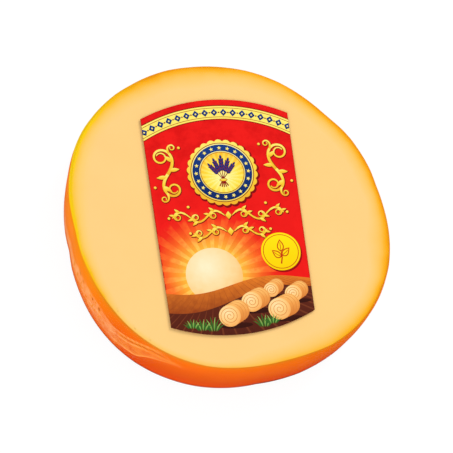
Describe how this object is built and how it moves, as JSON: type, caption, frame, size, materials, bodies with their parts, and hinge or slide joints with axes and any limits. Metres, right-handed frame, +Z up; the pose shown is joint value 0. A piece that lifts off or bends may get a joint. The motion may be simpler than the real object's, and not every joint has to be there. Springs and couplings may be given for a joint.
{
  "type": "sealed slice of smoked provolone cheese",
  "caption": "Thick round slice of smoked provolone cheese with an orange rind, sealed in clear shrink film, with a red printed label on its cut face.",
  "frame": {"origin": "on the plain cut face that the slice lies on, under the middle of its bounding box", "axes": "+Z up out of the labelled cut face, +Y towards the label's top, +X towards the label's right"},
  "size_m": [0.1366, 0.1394, 0.0303],
  "materials": {
    "cheese": "satin",
    "film": "gloss",
    "label": "satin"
  },
  "bodies": {
    "root": {"sealed_cheese": "cheese", "label": "label"}
  },
  "joints": []
}
